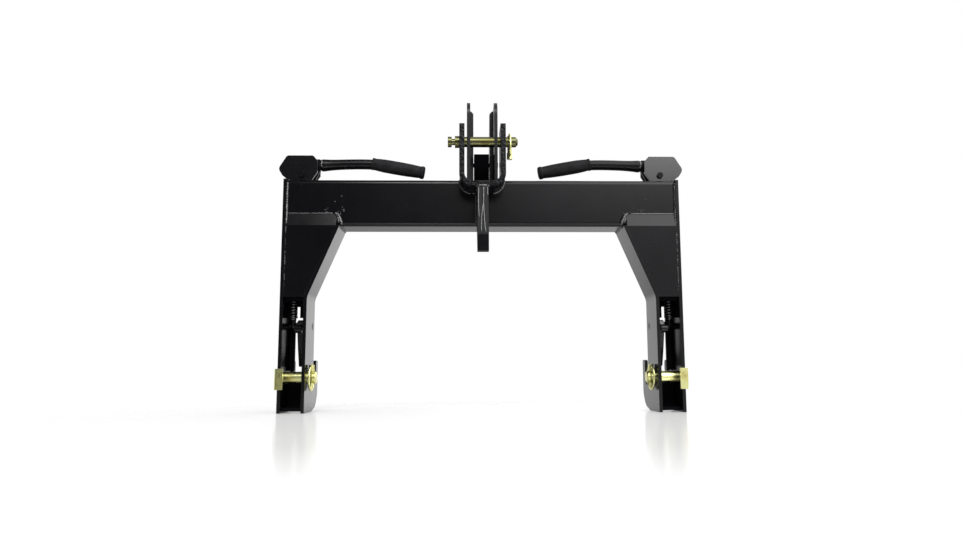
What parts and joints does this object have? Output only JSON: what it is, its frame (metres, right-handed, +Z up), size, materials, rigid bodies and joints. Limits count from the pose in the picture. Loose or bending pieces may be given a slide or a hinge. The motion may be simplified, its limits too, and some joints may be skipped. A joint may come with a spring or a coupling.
{
  "type": "three point quick hitch",
  "caption": "Welded steel frame that couples a tractor's three point links to implements, with two hand levers that free the lower hooks.",
  "frame": {"origin": "middle of the hitch's bounding box, at the underside of the feet", "axes": "+X to the right seen from the tractor, +Y from the tractor side to the implement side, +Z up"},
  "size_m": [0.7614, 0.224, 0.5705],
  "materials": {
    "black_paint": "satin gloss",
    "yellow_zinc": "yellow zinc plate",
    "spring_steel": "dull",
    "grip_rubber": "ribbed matt"
  },
  "bodies": {
    "frame": {"clevis_gusset": "black_paint", "cross_beam": "black_paint", "hook_guide_block": "black_paint", "hook_guide_pin": "black_paint", "left_hook_web": "black_paint", "left_inner_plate": "black_paint", "left_latch_pivot": "black_paint", "left_leg_cover": "black_paint", "left_lever_bolt": "black_paint", "left_lever_box_front": "black_paint", "left_lever_box_rear": "black_paint", "left_lever_nut": "black_paint", "left_lower_linch_pin": "yellow_zinc", "left_lower_link_pin": "yellow_zinc", "left_mast_doubler": "black_paint", "left_mast_plate": "black_paint", "left_outer_plate": "black_paint", "left_return_spring": "spring_steel", "left_spring_tab": "black_paint", "right_hook_web": "black_paint", "right_inner_plate": "black_paint", "right_latch_pivot": "black_paint", "right_leg_cover": "black_paint", "right_lever_bolt": "black_paint", "right_lever_box_front": "black_paint", "right_lever_box_rear": "black_paint", "right_lever_nut": "black_paint", "right_lower_linch_pin": "yellow_zinc", "right_lower_link_pin": "yellow_zinc", "right_mast_doubler": "black_paint", "right_mast_plate": "black_paint", "right_outer_plate": "black_paint", "right_return_spring": "spring_steel", "right_spring_tab": "black_paint", "top_link_clevis": "black_paint"},
    "top_pin": {"top_link_pin": "yellow_zinc", "top_linch_pin": "yellow_zinc"},
    "top_ring": {"top_linch_ring": "yellow_zinc"},
    "right_lever": {"right_lever_plate": "black_paint", "right_lever_tube": "black_paint", "right_lever_grip": "grip_rubber"},
    "right_rod": {"right_latch_rod": "black_paint", "right_spring_collar": "spring_steel"},
    "right_pawl": {"right_latch_pawl": "black_paint"},
    "right_ring": {"right_lower_linch_ring": "yellow_zinc"},
    "left_lever": {"left_lever_plate": "black_paint", "left_lever_tube": "black_paint", "left_lever_grip": "grip_rubber"},
    "left_rod": {"left_latch_rod": "black_paint", "left_spring_collar": "spring_steel"},
    "left_pawl": {"left_latch_pawl": "black_paint"},
    "left_ring": {"left_lower_linch_ring": "yellow_zinc"}
  },
  "joints": [
    {"name": "top_pin_turn", "type": "hinge", "parent": "frame", "child": "top_pin", "pos_m": [0, -0.057, 0.491], "axis": [1, 0, 0], "continuous": true},
    {"name": "top_ring_flip", "type": "hinge", "parent": "top_pin", "child": "top_ring", "pos_m": [0.05, -0.057, 0.4645], "axis": [0, 1, 0], "range_deg": [0, 170], "stiffness_Nm_per_rad": 0.01, "springref_deg": -17.19},
    {"name": "right_lever_lift", "type": "hinge", "parent": "frame", "child": "right_lever", "pos_m": [0.338, 0.008, 0.441], "axis": [0, 1, 0], "range_deg": [0, 60]},
    {"name": "right_rod_slide", "type": "slide", "parent": "frame", "child": "right_rod", "axis": [0, 0, 1], "range_m": [0, 0.01145], "stiffness_N_per_m": 400, "springref_m": -0.004, "deforming": ["right_return_spring"]},
    {"name": "right_pawl_swing", "type": "hinge", "parent": "frame", "child": "right_pawl", "pos_m": [0.3385, 0.029, 0.158], "axis": [-1, 0, 0], "range_deg": [0, 21.98]},
    {"name": "right_ring_flip", "type": "hinge", "parent": "frame", "child": "right_ring", "pos_m": [0.3125, 0.001, 0.0803], "axis": [0, 1, 0], "range_deg": [0, 170], "stiffness_Nm_per_rad": 0.01, "springref_deg": -17.19},
    {"name": "left_lever_lift", "type": "hinge", "parent": "frame", "child": "left_lever", "pos_m": [-0.338, 0.008, 0.441], "axis": [0, -1, 0], "range_deg": [0, 60]},
    {"name": "left_rod_slide", "type": "slide", "parent": "frame", "child": "left_rod", "axis": [0, 0, 1], "range_m": [0, 0.01145], "stiffness_N_per_m": 400, "springref_m": -0.004, "deforming": ["left_return_spring"]},
    {"name": "left_pawl_swing", "type": "hinge", "parent": "frame", "child": "left_pawl", "pos_m": [-0.3385, 0.029, 0.158], "axis": [-1, 0, 0], "range_deg": [0, 21.98]},
    {"name": "left_ring_flip", "type": "hinge", "parent": "frame", "child": "left_ring", "pos_m": [-0.3125, 0.001, 0.0803], "axis": [0, -1, 0], "range_deg": [0, 170], "stiffness_Nm_per_rad": 0.01, "springref_deg": -17.19}
  ],
  "couplings": [
    {"joint": "right_rod_slide", "follows": "right_lever_lift", "m_per_rad": 0.010914},
    {"joint": "right_pawl_swing", "follows": "right_lever_lift", "ratio": 0.36544},
    {"joint": "left_rod_slide", "follows": "left_lever_lift", "m_per_rad": 0.010914},
    {"joint": "left_pawl_swing", "follows": "left_lever_lift", "ratio": 0.36544}
  ]
}
